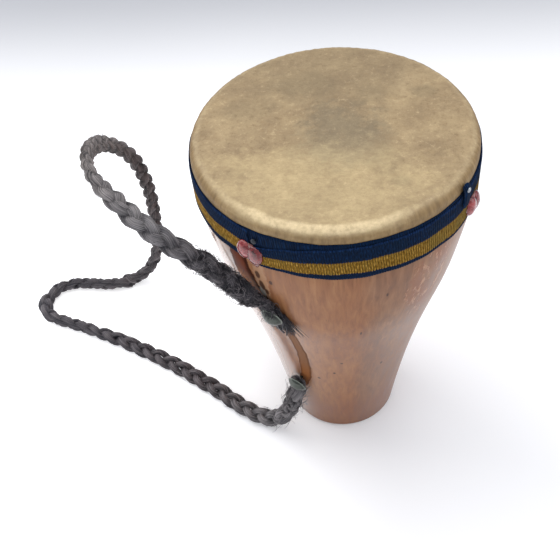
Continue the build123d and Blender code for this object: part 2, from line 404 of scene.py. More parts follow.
# ---------------------------------------------------------------- finishes
def hair_finish():
    """Plaited horse hair: each hair has its own tone, with painted shade in the grooves where strands pass
    under one another and painted light on the tops where they cross over, browner over the loop's top.
    """
    f = Finish("plaited_hair")
    tone, along, lane = f.attribute("tone"), f.attribute("along"), f.attribute("lane")
    streak = f.noise(1.0, f.vector(f.times(lane, 26.0), f.times(along, 70.0)), rough=0.6)
    streaked = f.either_way(streak, f.scaled(tone, 0.05, 0.45, 0.4, 1.9))
    toned = f.math("ADD", tone, streaked, clamp=True)
    body = f.mix(toned, paint(24, 23, 29), paint(176, 171, 172))
    brown = f.mix(f.noise(110.0, detail=2.0), paint(176, 158, 136), paint(140, 118, 102))
    browned = f.mix(0.75, body, f.mix(1.0, body, brown, "OVERLAY"))
    body = f.mix(f.stops(along, HAIR_BROWNER), body, browned)
    body = f.mix(f.stops(along, HAIR_BLUER), body, f.mix(0.34, body, paint(58, 68, 94)))
    dust = f.scaled(f.noise(320.0, detail=4.0), 0.5, 0.75)
    body = f.mix(dust, body, f.mix(0.2, body, paint(150, 146, 140)))
    darkened = f.mix(1.0, body, paint(146, 132, 138), "MULTIPLY")
    body = f.mix(f.stops(along, HAIR_DARKER), body, darkened)
    ridges = f.bump(f.noise(4200.0), 0.35, 0.0003)
    return f.done(Base_Color=body, Roughness=0.45, Specular_IOR_Level=0.45, Normal=ridges)


def bare_wood(f, angle, height, grain):
    """Warm wood, painted cooler and greyer on its right side as a stand-in for the varnish's pale sheen
    there, with broad stripes, pores and a darker foot.
    """
    warm = f.stops(grain, [
        (0.3, paint(128, 82, 50)), (0.5, paint(146, 99, 64)), (0.72, paint(163, 116, 78)),
    ])
    # painted sheen: the cooler, greyer wood used on the right side stands in for the pale reflection in the
    # varnish there
    right_sheen_wood = f.stops(grain, [
        (0.3, paint(116, 80, 56)), (0.5, paint(134, 96, 69)), (0.72, paint(152, 114, 86)),
    ])
    drift = f.noise(60.0, f.stretched((1, 1, 0.5)), detail=2.0)
    side = f.plus(angle, f.either_way(drift, 14.0))
    right_sheen = f.times(f.scaled(side, 278.0, 288.0), f.scaled(side, 346.0, 326.0))
    body = f.mix(right_sheen, warm, right_sheen_wood)
    broad = f.noise(46.0, f.stretched((1, 1, 0.22)))
    striped = f.mix(1.0, body, paint(196, 150, 118), "MULTIPLY")
    body = f.mix(f.scaled(broad, 0.35, 0.7, 0.0, 0.35), body, striped)
    pores = f.noise(1500.0, f.stretched((1, 1, 0.05)), detail=2.0)
    body = f.mix(f.scaled(pores, 0.62, 0.72, 0.0, 0.35), body, paint(104, 70, 48))
    return f.tint(body, f.scaled(height, 48.0, 20.0), 0.45, paint(120, 74, 56))


def lay_run(f, body, angle, height):
    """The brown run beside the strap, from under the first beads down to the lower nail, with painted shade
    along its front edge beside the strap.
    """
    low, high = RUN[0][0], RUN[-1][0]
    left, right, widest = 220.0, 250.0, 6.0
    share = f.scaled(height, low, high, soft=False)
    marks = [
        ((z - low) / (high - low), ((turn - left) / (right - left), half / widest, 0, 1))
        for z, turn, half in RUN
    ]
    line = f.node("ShaderNodeSeparateColor", {0: f.stops(share, marks)}).outputs
    middle = f.scaled(line[0], 0.0, 1.0, left, right, soft=False)
    half_width = f.scaled(line[1], 0.0, 1.0, 0.0, widest, soft=False)
    off = f.math("DIVIDE", f.minus(angle, middle), half_width)
    uneven = f.either_way(f.noise(260.0), 0.5)
    across = f.plus(off, uneven)
    out = f.plus(f.math("ABSOLUTE", off), uneven)
    run = f.times(f.scaled(out, 1.08, 0.9), f.scaled(height, 41.0, 46.0))
    rim = f.times(f.scaled(out, 0.45, 1.0), run)
    # shade: painted shade beside the strap, darkening the run's front edge from about 112 mm up
    shade = f.times(f.times(f.scaled(across, 0.3, 0.8), run), f.scaled(height, 112.0, 126.0))
    colour = f.stops(share, [
        (0.0, paint(112, 66, 36)), (0.12, paint(136, 84, 46)), (0.3, paint(120, 82, 56)),
        (0.5, paint(118, 82, 58)), (0.66, paint(106, 58, 32)), (0.8, paint(150, 88, 44)),
        (0.86, paint(176, 108, 56)), (0.91, paint(124, 60, 38)), (1.0, paint(92, 42, 30)),
    ])
    body = f.tint(body, run, 0.92, colour)
    body = f.tint(body, rim, 0.7, paint(78, 44, 26))
    return f.tint(body, shade, 0.85, paint(46, 18, 8)), run


def lay_clear_glue(f, body, angle, height, run, wobble):
    """Clear glue under the first beads, and pits where it has lifted and in the wood."""
    patch = f.spot(angle, height, (237.4, 158.0), (3.0, 16.0), wobble=wobble)
    patch = f.times(patch, f.minus(1.0, run))
    body = f.tint(body, patch, 0.6, paint(176, 138, 108))
    pale = f.spot(angle, height, (236.3, 149.0), (1.5, 4.0), 0.4, wobble)
    body = f.tint(body, pale, 0.85, paint(158, 154, 144))
    for place, size in PITS:
        pit = f.spot(angle, height, place, size, 0.5, wobble)
        body = f.tint(body, pit, 0.9, paint(58, 30, 18))
    return body, patch


def lay_smears(f, body, angle, height, wobble):
    """Rough glue smeared below the second beads."""
    smear = f.spot(angle, height, (311.0, 149.0), (10.5, 25.0), 0.5, f.times(wobble, 1.3))
    rough_glue = f.noise(300.0, f.stretched((1, 1, 0.4)), detail=5.0, rough=0.65)
    crust = f.times(smear, f.scaled(rough_glue, 0.52, 0.6))
    soaking = f.noise(130.0, f.stretched((1, 1, 0.4)))
    soaked = f.times(smear, f.scaled(soaking, 0.36, 0.56))
    body = f.tint(body, soaked, 0.65, paint(132, 80, 50))
    body = f.tint(body, crust, 0.6, paint(184, 138, 108))
    return body, f.times(crust, rough_glue)


def wood_finish():
    """Varnished wood with upright grain, and the glue and varnish that ran down it."""
    f = Finish("varnished_wood")
    angle, _, height = f.polar()
    grain = f.noise(420.0, f.stretched((1, 1, 0.035)), detail=6.0, rough=0.6, distort=0.4)
    wobble = f.either_way(f.noise(420.0), 1.6)
    body = bare_wood(f, angle, height, grain)
    body, run = lay_run(f, body, angle, height)
    body, patch = lay_clear_glue(f, body, angle, height, run, wobble)
    body, crust = lay_smears(f, body, angle, height, wobble)
    relief = f.bump(grain, 0.10, 0.0006)
    relief = f.bump(f.noise(28.0, f.stretched((1, 1, 0.5)), detail=2.0), 0.35, 0.004, relief)
    relief = f.bump(f.plus(run, f.times(patch, 0.6)), 0.7, 0.0007, relief)
    relief = f.bump(crust, 0.4, 0.0007, relief)
    facing = f.node("ShaderNodeLayerWeight", {"Blend": 0.5}).outputs["Facing"]
    dulled = f.times(f.scaled(angle, 280.0, 320.0), f.scaled(angle, 358.0, 338.0))
    gloss = f.scaled(facing, 0.56, 0.82, 0.08, 1.0)
    coat = f.times(gloss, f.math("MULTIPLY_ADD", dulled, -0.72, 1.0))
    coat = f.times(coat, f.minus(1.0, f.times(run, 0.93)))
    return f.done(
        Base_Color=body, Roughness=f.scaled(grain, 0.3, 0.7, 0.38, 0.5),
        Specular_IOR_Level=f.scaled(run, 0.0, 1.0, 0.2, 0.02),
        Coat_Weight=coat, Coat_IOR=1.62, Coat_Roughness=0.12, Normal=relief,
    )


def bare_hide(f, mottle, flecks, fibres):
    """Hide mottled in tan and cream, with dark and light flecks, fibres and a fine grain."""
    body = f.stops(mottle, [
        (0.3, paint(130, 110, 82)), (0.44, paint(146, 125, 94)),
        (0.56, paint(157, 136, 103)), (0.7, paint(172, 150, 115)),
    ])
    body = f.mix(f.scaled(flecks, 0.5, 0.72, 0.0, 0.55), body, paint(112, 91, 64))
    body = f.mix(f.scaled(flecks, 0.46, 0.3, 0.0, 0.6), body, paint(190, 167, 130))
    body = f.mix(f.scaled(fibres, 0.45, 0.72, 0.0, 0.4), body, paint(138, 113, 80))
    return f.mix(f.scaled(f.noise(1900.0), 0.58, 0.75, 0.0, 0.45), body, paint(106, 88, 62))


def lay_stains(f, body, fibres):
    """A grey smudge in the middle, small stains, painted light over the front and painted shade over the
    back.
    """
    parts = f.node("ShaderNodeSeparateXYZ", {0: f.place}).outputs
    east, north = (f.times(parts[i], 1000.0) for i in (0, 1))
    wobble = f.either_way(f.noise(75.0, detail=6.0, rough=0.7), 3.4)
    rubbed = f.plus(wobble, f.either_way(f.noise(240.0, detail=6.0, rough=0.75), 3.6))
    smudge = f.spot(east, north, (3.5, -4.0), (18.0, 20.0), 1.0, rubbed)
    body = f.tint(body, smudge, 0.46, paint(96, 90, 76))
    for place, size, share in STAINS:
        stain = f.spot(east, north, place, size, 0.9, wobble)
        body = f.tint(body, stain, share, paint(112, 98, 74))
    # light: painted light, a paler patch over the front of the head
    light = f.spot(east, north, (-10.0, -40.0), (48.0, 27.0), 1.0, rubbed)
    light = f.times(light, f.scaled(fibres, 0.6, 0.4, 0.7, 1.0))
    body = f.tint(body, light, 0.4, paint(206, 184, 138))
    # back: painted shade, darker over the back of the head
    back = f.spot(east, north, (0.0, 42.0), (46.0, 26.0), 0.9, wobble)
    return f.tint(body, back, 0.3, paint(112, 98, 76))


def hide_finish():
    """Scraped hide, worn grey in the middle, with a painted highlight along the top of its roll and painted
    shade, over streaks of its own, where it rolls down over the rim.
    """
    f = Finish("scraped_hide")
    angle, radius, height = f.polar()
    mottle = f.noise(52.0, detail=6.0, rough=0.68)
    flecks = f.noise(430.0, detail=5.0, rough=0.72)
    fibres = f.noise(620.0, f.stretched((0.6, 1, 1)), detail=5.0, rough=0.72, distort=0.6)
    body = lay_stains(f, bare_hide(f, mottle, flecks, fibres), fibres)
    turn = f.math("RADIANS", angle)
    wound = f.vector(
        f.times(f.math("COSINE", turn), 26.0), f.times(f.math("SINE", turn), 26.0),
        f.times(f.plus(radius, height), 0.15),
    )
    streaks = f.noise(1.0, wound, detail=4.0, rough=0.65)
    edge = f.plus(radius, f.either_way(f.noise(110.0, detail=4.0), 3.6))
    drop = f.plus(height, f.either_way(f.noise(150.0, detail=4.0), 2.4))
    # front: the side facing the camera, where the painted highlight on the ridge is strongest and the
    # painted shade on the roll's sides is left off
    front = f.scaled(f.math("ABSOLUTE", f.minus(angle, 262.0)), 44.0, 20.0)
    # ridge: a painted highlight along the top of the hide's roll
    ridge_highlight = f.times(f.scaled(edge, 58.6, 60.6), f.scaled(drop, 196.0, 197.6))
    ridge_highlight = f.times(ridge_highlight, f.scaled(flecks, 0.7, 0.36, 0.5, 1.0))
    body = f.tint(body, ridge_highlight, f.math("MULTIPLY_ADD", front, 0.62, 0.12), paint(232, 210, 168))
    # the roll's streaked brown: the streaks are the hide's own, the darkening is painted shade where the
    # hide turns down over the rim
    brown = f.stops(streaks, [
        (0.3, paint(104, 80, 48)), (0.55, paint(132, 106, 68)), (0.75, paint(154, 128, 88)),
    ])
    side_roll_shade = f.times(f.scaled(edge, 60.8, 63.4), f.minus(1.0, front))
    # rolled: where the hide turns down over the rim, painted darker as shade
    rolled = f.math("MAXIMUM", side_roll_shade, f.scaled(drop, 197.0, 194.6))
    body = f.tint(body, rolled, 0.88, brown)
    relief = f.bump(mottle, 0.25, 0.0012)
    relief = f.bump(fibres, 0.3, 0.0004, relief)
    relief = f.bump(flecks, 0.35, 0.0006, relief)
    relief = f.bump(f.times(streaks, rolled), 0.5, 0.0006, relief)
    return f.done(
        Base_Color=body, Roughness=f.scaled(mottle, 0.3, 0.7, 0.55, 0.7),
        Specular_IOR_Level=0.35, Normal=relief,
    )


def ribbon_finish(name, striped):
    """Woven ribbon: navy, and with a gold stripe where the trim has one; the navy is painted lighter on the
    ribs' tops and the gold painted darker in the troughs between them, as light and shade.
    """
    f = Finish(name)
    rib, stripe = f.attribute("rib"), f.attribute("stripe")
    wave = f.math("SINE", f.times(rib, 2 * pi))
    thread = f.noise(3.0, f.vector(rib, f.times(stripe, 1.2)), detail=4.0)
    patchy = f.noise(70.0)
    navy = f.stops(thread, [
        (0.3, paint(2, 8, 20)), (0.52, paint(4, 22, 46)), (0.76, paint(14, 52, 94)),
    ])
    # painted highlight: the navy lighter along the ribs' tops
    navy = f.mix(f.scaled(wave, 0.2, 1.0, 0.0, 0.3), navy, paint(8, 34, 68))
    body = f.mix(f.scaled(patchy, 0.45, 0.7, 0.0, 0.4), navy, paint(6, 24, 40))
    if striped:
        gold = f.stops(thread, [
            (0.28, paint(70, 46, 8)), (0.48, paint(126, 92, 26)), (0.72, paint(194, 156, 78)),
        ])
        # painted shade: the gold darker in the troughs between the ribs
        gold = f.mix(f.scaled(wave, 0.0, -1.0, 0.0, 0.75), gold, paint(56, 42, 10))
        gold = f.mix(f.scaled(patchy, 0.5, 0.68, 0.0, 0.35), gold, paint(94, 86, 42))
        ragged = f.plus(stripe, f.either_way(thread, 0.34))
        inside = f.times(f.scaled(ragged, 0.96, 1.04), f.scaled(ragged, 2.03, 1.97))
        body = f.mix(inside, body, gold)
        selvedge = f.times(f.scaled(stripe, 2.86, 2.93), f.scaled(thread, 0.35, 0.65, 0.1, 0.5))
        body = f.mix(selvedge, body, paint(30, 54, 98))
    relief = f.bump(wave, 0.4, 0.0003)
    relief = f.bump(thread, 0.4, 0.0003, relief)
    return f.done(
        Base_Color=body, Roughness=0.85, Specular_IOR_Level=0.05,
        Sheen_Weight=0.02, Sheen_Roughness=0.5, Normal=relief,
    )


def glass_finish(name, clear, deep, heart):
    """Cloudy pressed glass, with patches of deeper red."""
    f = Finish(name)
    cloud = f.noise(330.0, detail=4.0, distort=0.8)
    wisps = f.noise(700.0, detail=3.0, distort=1.5)
    body = f.mix(f.scaled(cloud, 0.36, 0.62), clear, deep)
    body = f.mix(f.scaled(wisps, 0.64, 0.74, 0.0, 0.5), body, paint(222, 184, 176))
    body = f.mix(f.scaled(f.noise(240.0, detail=2.0), 0.52, 0.66), body, heart)
    relief = f.bump(f.noise(420.0), 0.25, 0.0006)
    return f.done(
        Base_Color=body, Roughness=0.08, IOR=1.5, Transmission_Weight=0.15,
        Subsurface_Weight=0.25, Subsurface_Radius=(0.003, 0.001, 0.001), Subsurface_Scale=0.6,
        Coat_Weight=0.5, Coat_Roughness=0.05, Normal=relief,
    )


def glue_finish():
    """Set glue: milky and glossy, with brownish dirt in it."""
    f = Finish("set_glue")
    cloud = f.noise(260.0, detail=4.0, distort=0.6)
    body = f.mix(f.scaled(cloud, 0.4, 0.66), paint(160, 82, 74), paint(124, 58, 48))
    body = f.mix(f.scaled(f.noise(600.0), 0.6, 0.72, 0.0, 0.5), body, paint(222, 190, 176))
    return f.done(
        Base_Color=body, Roughness=0.14, IOR=1.46, Transmission_Weight=0.45,
        Coat_Weight=0.8, Coat_Roughness=0.08, Normal=f.bump(cloud, 0.5, 0.0008),
    )


def metal_finish(name, worn, dull, tarnish, rough, rubbed=None):
    """Old metal, tarnished, and painted lighter round a head's rim, where a rim colour is given, as a
    highlight.
    """
    f = Finish(name)
    cloud = f.noise(240.0, detail=4.0)
    body = f.mix(f.scaled(cloud, 0.38, 0.62), worn, dull)
    body = f.mix(f.scaled(f.noise(620.0, detail=3.0), 0.58, 0.7, 0.0, 0.7), body, tarnish)
    # rubbed: the rim colour, a painted highlight laid round the rim of a nail's head
    if rubbed:
        body = f.mix(f.scaled(f.attribute("rim"), 0.9, 1.0), body, rubbed)
    relief = f.bump(f.noise(900.0, detail=3.0), 0.06, 0.0002)
    return f.done(
        Base_Color=body, Metallic=0.75, Roughness=f.scaled(cloud, 0.3, 0.7, rough, rough + 0.2),
        Normal=relief,
    )


# ---------------------------------------------------------------- strap
def smooth_line(route):
    """The strap's line: a smooth spline steered by the route's points, in millimetres."""
    curve = bpy.data.curves.new("strap_line", "CURVE")
    curve.dimensions = "3D"
    spline = curve.splines.new("NURBS")
    spline.points.add(len(route) - 1)
    for point, place in zip(spline.points, route):
        point.co = (place[0] * MM, place[1] * MM, place[2] * MM, 1)
    spline.order_u = 3
    spline.use_endpoint_u = True
    spline.resolution_u = 24
    holder = bpy.data.objects.new("strap_line", curve)
    mesh = bpy.data.meshes.new_from_object(holder)
    line = np.array([v.co for v in mesh.vertices], float) / MM
    bpy.data.meshes.remove(mesh)
    bpy.data.curves.remove(curve)
    return line


def read_line(line, step):
    """The line's points, evenly spaced, with how far along each one is."""
    lengths = np.concatenate([[0], np.cumsum(np.linalg.norm(np.diff(line, axis=0), axis=1))])
    along = np.linspace(0, lengths[-1], int(round(lengths[-1] / step)) + 1)
    return along, np.stack([np.interp(along, lengths, line[:, k]) for k in range(3)], axis=1)


# which way the plait's flat face looks, by how far along the strap it is, in millimetres
FACES = [
    (0, (-0.48, -0.86, -0.2)), (22, (-0.45, -0.86, 0.1)), (48, (0.1, -0.72, 0.69)),
    (85, (0.25, -0.68, 0.68)), (108, (0.55, -0.25, 0.75)), (128, (0.86, 0.22, 0.34)),
    (150, (0.94, 0.35, 0.0)), (195, (0.94, 0.3, 0.1)), (225, (0.82, -0.33, 0.47)),
    (330, (0.82, -0.33, 0.47)), (360, (0.93, 0.1, 0.1)), (392, (0.35, 0.7, 0.6)),
    (430, (0.1, 0.75, 0.66)), (470, (0.3, 0.72, 0.62)),
    (500, (0.1, 0.1, 0.99)), (540, (0.0, -0.1, 0.99)), (600, (0.0, -0.1, 0.99)),
    (632, (-0.3, -0.8, 0.5)), (655, (-0.53, -0.82, 0.1)), (690, (-0.54, -0.81, -0.22)),
]


class Plait:
    """The strap's plait: where each of its three strands goes, and how it is turned."""

    def __init__(self, step=1.7):
        line = smooth_line(STRAP_ROUTE)
        self.along, self.middle = read_line(line, step)
        self.length = self.along[-1]
        self.forward = unit(np.gradient(self.middle, axis=0))
        marks, hints = zip(*FACES)
        faces = np.stack([np.interp(self.along, marks, [h[k] for h in hints]) for k in range(3)], axis=1)
        faces -= (faces * self.forward).sum(1, keepdims=True) * self.forward
        self.face = unit(faces)
        self.side = np.cross(self.face, self.forward)
        flat = np.interp(self.along, [0, 470, 505, 600, 635, 690], [0, 0, 1, 1, 0, 0])
        bent = np.interp(self.along, [105, 135, 195, 235], [0, 1, 1, 0])
        self.wide = 1 + 0.27 * flat - 0.15 * bent
        self.rise = 1 - 0.08 * flat - 0.72 * bent
        self.full = 1 - 0.24 * flat
        self.thick = 1 - 0.12 * flat + 0.26 * bent

    def crossing(self, number):
        """How far through its crossings one strand is, as an angle for each place along."""
        turn = 2 * pi * self.along / PLAIT_TURN + 2 * pi * number / 3
        return turn + 0.18 * np.sin(self.along / 23.0 + number) + 0.1 * np.sin(self.along / 9.7 + 2 * number)

    def strand(self, number):
        """One strand's own middle line, with the directions of its width and thickness."""
        turn = self.crossing(number)
        swing = STRAND_SWING * self.wide * (1 + 0.06 * np.sin(self.along / 17.0 + 3 * number))
        middle = (
            self.middle
            + self.side * (swing * np.sin(turn))[:, None]
            + self.face * (STRAND_RISE * self.rise * np.sin(2 * turn))[:, None]
        )
        forward = unit(np.gradient(middle, axis=0))
        lean = -radians(34) * 2.6 * np.cos(turn) * np.sin(turn) ** 2
        width = self.side * np.cos(lean)[:, None] + self.face * np.sin(lean)[:, None]
        width = unit(width - (width * forward).sum(1, keepdims=True) * forward)
        return middle, width, np.cross(forward, width)


def nail_place(name):
    """Where a domed nail's middle meets the wood, and the way its head faces."""
    angle, z, radius, slope = {
        "strap_tack_upper": (240.5, 136.0, 58.48, 0.205),
        "strap_tack_lower": (236.5, 55.0, 39.72, 0.232),
    }[name]
    out = Vector((cos(radians(angle)), sin(radians(angle)), -slope)).normalized()
    return np.array(around(radius, angle, z) / MM), np.array(out)


def press_under_nails(points):
    """Presses the plait flat where the nails' heads hold it on the wood."""
    for name, centre in (("strap_tack_upper", 5.2), ("strap_tack_lower", 4.3)):
        place, out = nail_place(name)
        away = points - place
        lift = away @ out
        reach = np.linalg.norm(away - lift[..., None] * out, axis=-1)
        near = np.clip((16.0 - reach) / 9.0, 0, 1)
        hold = near**2 * (3 - 2 * near)
        pressed = np.clip(2.2 + (lift - centre) * 0.5, 0.35, NAIL_SEAT - 0.35)
        hold = np.where(np.abs(lift - centre) < 10, hold, 0)
        points = points + ((pressed - lift) * hold)[..., None] * out
    points[..., 2] = np.maximum(points[..., 2], 0.3)
    return points


def make_core(plait, worn, ends):
    """The three strands' solid cores, in one mesh of closed tubes."""
    turns = 2 * pi * np.arange(CORE_ROUNDS) / CORE_ROUNDS
    points, faces, lanes, tones = [], [], [], []
    for number in range(3):
        middle, width, thick = plait.strand(number)
        groove = 1 + 0.035 * np.cos(7 * turns[None] + plait.along[:, None] / 6.0 + number)
        wide = CORE_SHARE * STRAND_HALF_WIDTH * groove * np.cos(turns) * (ends * plait.full)[:, None]
        deep = CORE_SHARE * STRAND_HALF_THICK * groove * np.sin(turns) * (ends * plait.thick)[:, None]
        rings = middle[:, None] + width[:, None] * wide[..., None] + thick[:, None] * deep[..., None]
        rings = press_under_nails(rings)
        count = rings.shape[0] * CORE_ROUNDS
        faces += closed_sleeve(np.arange(count).reshape(-1, CORE_ROUNDS) + number * count)
        points.append(rings.reshape(-1, 3) * MM)
        # over: painted shade and light, the core darker in the grooves where its strand passes under another
        # and lighter on top where it crosses over
        over = np.sin(2 * plait.crossing(number))[:, None] * np.sin(turns)[None]
        tones.append((0.22 + 0.2 * over - 0.18 * worn[:, None]).ravel())
        lane = np.abs(turns / pi - 1)[None] + plait.along[:, None] / HAIR_TURN + 5 * number
        lanes.append(lane.ravel())
    core = mesh_piece("strap_core", np.concatenate(points), faces)
    write_attribute(core, "tone", np.clip(np.concatenate(tones), 0, 1))
    write_attribute(core, "along", np.tile(np.repeat(plait.along / plait.length, CORE_ROUNDS), 3))
    write_attribute(core, "lane", np.concatenate(lanes))
    return core


def make_strand(plait, number, worn, ends, draw):
    """The hairs of one strand, each winding slowly round the strand's core."""
    middle, width, thick = plait.strand(number)
    each = (STRAND_HAIRS, 1)

    def sway(slow, fast):
        phase = draw.uniform(0, 2 * pi, each)
        return np.sin(plait.along[None] / draw.uniform(slow, fast, each) + phase)

    start = 2 * pi * (np.arange(STRAND_HAIRS) + draw.uniform(-0.4, 0.4, (STRAND_HAIRS,))) / STRAND_HAIRS
    turn = start[:, None] + 2 * pi * plait.along[None] / HAIR_TURN + 0.14 * sway(9, 26)
    out = draw.uniform(0.95, 1.03, each) + 0.03 * sway(4, 11)
    out = out + worn[None] * draw.uniform(-0.05, 0.3, each) * (0.6 + 0.4 * sway(3, 8))
    lines = (
        middle[None]
        + width[None] * (STRAND_HALF_WIDTH * out * np.cos(turn) * ends * plait.full)[..., None]
        + thick[None] * (STRAND_HALF_THICK * out * np.sin(turn) * ends * plait.thick)[..., None]
    )
    lines = press_under_nails(lines)
    radii = np.broadcast_to(draw.uniform(0.08, 0.17, each), turn.shape)
    # over: painted shade and light, hairs darker in the grooves where the strand passes under another and
    # lighter on top where it crosses over
    over = np.sin(2 * plait.crossing(number))[None] * np.sin(turn)
    tone = draw.beta(1.5, 2.2, each) + 0.12 * sway(14, 40) + 0.32 * over - 0.3 * worn[None]
    share = np.broadcast_to(plait.along[None] / plait.length, turn.shape)
    lane = np.broadcast_to(draw.uniform(0, 40, each), turn.shape)
    name = f"strap_strand_{number + 1}"
    return tubes(name, lines, radii, tone=np.clip(tone, 0, 1), along=share, lane=lane)


def make_strap():
    """The strap: three strands of hair, each a solid core wrapped in its own hairs."""
    plait = Plait()
    draw = np.random.default_rng(7)
    worn = np.exp(-((np.maximum(plait.along - 14, 0) / 38.0) ** 2))
    ends = np.clip((plait.along - 1.5) / 11.0, 0.08, 1)
    ends = np.clip((plait.length + 3 - plait.along) / 7.0, 0.5, 1) * ends
    core = make_core(plait, worn, ends)
    pieces = [make_strand(plait, number, worn, ends, draw) for number in range(3)]
    pieces += [make_fuzz(plait, draw), make_tuft(draw)]
    hair = hair_finish()
    put(core, "hair", hair, "strap_braid")
    for piece in pieces:
        put(piece, "hair", hair)
    path = [[float(x) * MM for x in p] for p in press_under_nails(plait.middle.copy())]


def make_fuzz(plait, draw):
    """Single hairs that have worked loose: a worn, matted stretch above the upper nail,
    some round the lower nail, and a few everywhere."""
    matted, low_down, elsewhere = 1300, 100, 250
    t = np.linspace(0, 1, HAIR_RINGS)[:, None]
    lines, radii, tones, shares = [], [], [], []
    for hair in range(matted + low_down + elsewhere):
        worn, low = hair < matted, matted <= hair < matted + low_down
        at = 12 + 50 * draw.beta(1.1, 1.5) if worn else draw.uniform(4, plait.length - 8)
        if low:
            at = plait.length - draw.uniform(8, 55)
        i = min(max(int(np.searchsorted(plait.along, at)), 1), len(plait.along) - 2)
        turn = draw.uniform(0, 2 * pi)
        out = plait.side[i] * cos(turn) + plait.face[i] * sin(turn)
        base = plait.middle[i] + plait.side[i] * 4.7 * cos(turn) + plait.face[i] * 3.2 * sin(turn)
        way = plait.forward[i] * (1 if draw.random() < 0.5 else -1)
        across = np.cross(way, out)
        heading = draw.uniform(-1.3, 1.3) if worn else draw.uniform(-0.5, 0.5)
        way = way * cos(heading) + across * sin(heading)
        across = np.cross(way, out)
        if worn:
            curl = draw.uniform(1.0, 2.4) if draw.random() < 0.97 else draw.uniform(3.0, 4.2)
            sweep = draw.uniform(1.0, 3.2) * t
            silver = draw.random() < 0.33
            lift = draw.uniform(0.9, 2.3) if silver else draw.uniform(0.3, 1.6)
            lift = lift * np.sin(pi * t) + draw.uniform(-0.6, 0.8) * t
            line = base + curl * (way * np.sin(sweep) + across * (1 - np.cos(sweep))) + out * lift
            line = line + (plait.middle[i] - base) * 0.35 * t
        else:
            reach = draw.uniform(5, 11) if low else draw.uniform(3, 7)
            lift = draw.uniform(0.25, 0.7) if low else draw.uniform(0.05, 0.3)
            bow = out * lift * t**1.5 * (1.6 - t)
            line = base + reach * (way * t + bow + across * draw.uniform(-0.4, 0.4) * t * t)
            silver = draw.random() < 0.35
        lines.append(line)
        thick = draw.uniform(0.11, 0.18) if silver else draw.uniform(0.08, 0.14)
        radii.append(np.linspace(thick, thick * 0.6, HAIR_RINGS))
        tones.append([draw.uniform(0.6, 1.0) if silver else draw.uniform(0, 0.11)])
        shares.append([at / plait.length])
    lines = press_under_nails(np.array(lines))
    tones, shares = np.array(tones), np.array(shares)
    return tubes("strap_loose_hairs", lines, np.array(radii), tone=tones, along=shares, lane=tones * 30)


def make_tuft(draw):
    """The strap's frayed end below the upper nail, and the hairs that lie over its head."""
    frayed, laid_over = 560, 38
    place, out = nail_place("strap_tack_upper")
    down = np.array((0.06, 0.0, -1.0))
    down = unit(down - (down @ out) * out)
    side = np.cross(out, down)
    ball = (NAIL_HEAD_R**2 + NAIL_DOME**2) / (2 * NAIL_DOME)
    lines, radii, tones = [], [], []
    t = np.linspace(0, 1, HAIR_RINGS)[:, None]
    for _ in range(frayed):
        way = unit(down + side * draw.normal(0, 0.25))
        reach = 7.0 + 14.0 * draw.beta(1.6, 1.8)
        line = place + side * draw.uniform(-5.2, 4.6) + way * (1.0 + reach * t)
        line = line + side * draw.uniform(-2.2, 2.2) * (t * t - 0.5 * t)
        line = line + out * (draw.uniform(0.4, 3.8) * (1 - 0.6 * t) + draw.uniform(-0.2, 1.4) * t * t)
        lines.append(line)
    for _ in range(laid_over):
        way = unit(down + side * draw.normal(0, 0.2))
        line = place - down * 9.0 + side * draw.uniform(-5.0, 5.0) + way * draw.uniform(4.0, 7.2) * t
        flat = line - place
        flat = flat - (flat @ out)[:, None] * out
        rise = np.sqrt(np.maximum(ball**2 - (flat**2).sum(1), 0)) - (ball - NAIL_DOME)
        lines.append(line + out * (NAIL_SEAT + np.maximum(rise, 0) + draw.uniform(0.12, 0.6))[:, None])
    for _ in lines:
        thick = draw.uniform(0.08, 0.16)
        radii.append(np.linspace(thick, thick * 0.5, HAIR_RINGS))
        tones.append([draw.uniform(0.4, 0.85) if draw.random() < 0.12 else draw.uniform(0, 0.16)])
    lines, radii, tones = np.array(lines), np.array(radii), np.array(tones)
    return tubes("strap_frayed_end", lines, radii, tone=tones, along=np.zeros_like(tones), lane=tones * 30)


# ---------------------------------------------------------------- head
def make_head():
    """The hide: flat on top, rolled over the rim in small puckers, down under the ribbons."""
    land = HIDE_R - SHOULDER_R
    shoulder = HEIGHT - SHOULDER_R
    rise = [(x, HEIGHT) for x in (0, 3, 7, 12, 17, 22, 27, 32, 37, 42, 46, 50, 53, 55.5, 57.5, land)]
    roll = [
        (land + SHOULDER_R * sin(radians(a)), shoulder + SHOULDER_R * cos(radians(a)))
        for a in (8, 16, 24, 32, 40, 48, 56, 64, 72, 81, 90)
    ]
    fall = [(HIDE_R, z) for z in (191, 187, 183, 179, HIDE_HEM)]
    inner_r, inner_roll = HIDE_R - HIDE_T, SHOULDER_R - HIDE_T
    back_fall = [(inner_r, z) for z in (HIDE_HEM, 183, shoulder)]
    back_roll = [
        (land + inner_roll * sin(radians(a)), shoulder + inner_roll * cos(radians(a)))
        for a in (72, 54, 36, 18, 0)
    ]
    under = [(x, HEIGHT - HIDE_T) for x in (50, 40, 28, 14, 0)]
    head = turn_piece("drum_head", rise + roll + fall + back_fall + back_roll + under, 360)

    def pucker(p):
        angle, radius = atan2(p.y, p.x), hypot(p.x, p.y)
        on_roll = exp(-((radius - 61.3) / 2.6) ** 2) * (1 if p.z > 192.5 else 0)
        ring = Vector((cos(angle), sin(angle), 0))
        folds = noise.noise(ring * 26) + 0.7 * noise.noise(ring * 55 + Vector((9, 4, 0)))
        slow = noise.noise(ring * 5 + Vector((0, 0, 3)))
        dish = 0.16 * noise.noise(p * 0.05) + 0.05 * noise.noise(p * 0.16)
        shrink = on_roll * (0.20 * folds + 0.28 * slow)
        top = 1 if p.z > 196 else 0
        return p + ring * shrink * 0.7 + Vector((0, 0, shrink * 0.8 - 0.1 + dish * top))

    shift_points(head, pucker)
    put(head, "hide", hide_finish(), "drumhead")


